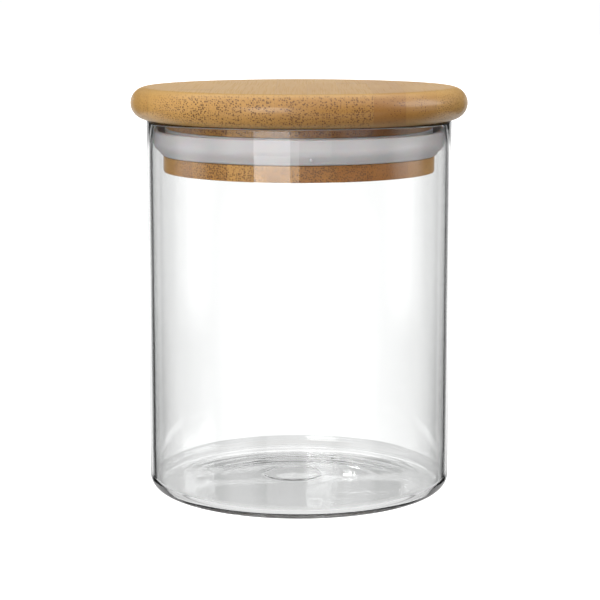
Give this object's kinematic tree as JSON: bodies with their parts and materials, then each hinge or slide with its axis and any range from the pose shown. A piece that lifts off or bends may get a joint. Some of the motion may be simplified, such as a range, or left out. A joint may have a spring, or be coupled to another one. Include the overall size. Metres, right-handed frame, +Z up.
{
  "type": "lidded glass canister",
  "caption": "Straight cylindrical glass storage canister with a push-in laminated bamboo lid and a silicone lip seal.",
  "frame": {"origin": "centre of the base, on the surface the jar stands on", "axes": "+Z up along the jar's axis, towards the lid; +Y along the strips of the lid, front towards -Y; +X to the right seen from the front"},
  "size_m": [0.1102, 0.1102, 0.1332],
  "materials": {
    "glass": "clear polished borosilicate",
    "silicone": "translucent satin silicone",
    "bamboo_disc": "sanded and oiled laminated bamboo",
    "bamboo_plug": "sanded and oiled laminated bamboo"
  },
  "bodies": {
    "jar": {"glass_jar": "glass"},
    "seal": {"lip_seal": "silicone"},
    "lid": {"disc_strip_01": "bamboo_disc", "disc_strip_02": "bamboo_disc", "disc_strip_03": "bamboo_disc", "disc_strip_04": "bamboo_disc", "disc_strip_05": "bamboo_disc", "disc_strip_06": "bamboo_disc", "disc_strip_07": "bamboo_disc", "disc_strip_08": "bamboo_disc", "disc_strip_09": "bamboo_disc", "disc_strip_10": "bamboo_disc", "disc_strip_11": "bamboo_disc", "plug_strip_01": "bamboo_plug", "plug_strip_02": "bamboo_plug", "plug_strip_03": "bamboo_plug", "plug_strip_04": "bamboo_plug", "plug_strip_05": "bamboo_plug", "plug_strip_06": "bamboo_plug", "plug_strip_07": "bamboo_plug", "plug_strip_08": "bamboo_plug"}
  },
  "joints": [
    {"name": "lid_lift", "type": "slide", "parent": "jar", "child": "seal", "axis": [0, 0, 1], "range_m": [0, 0.024]},
    {"name": "lid_turn", "type": "hinge", "parent": "seal", "child": "lid", "pos_m": [0, 0, 0.1228], "axis": [0, 0, 1], "continuous": true}
  ]
}
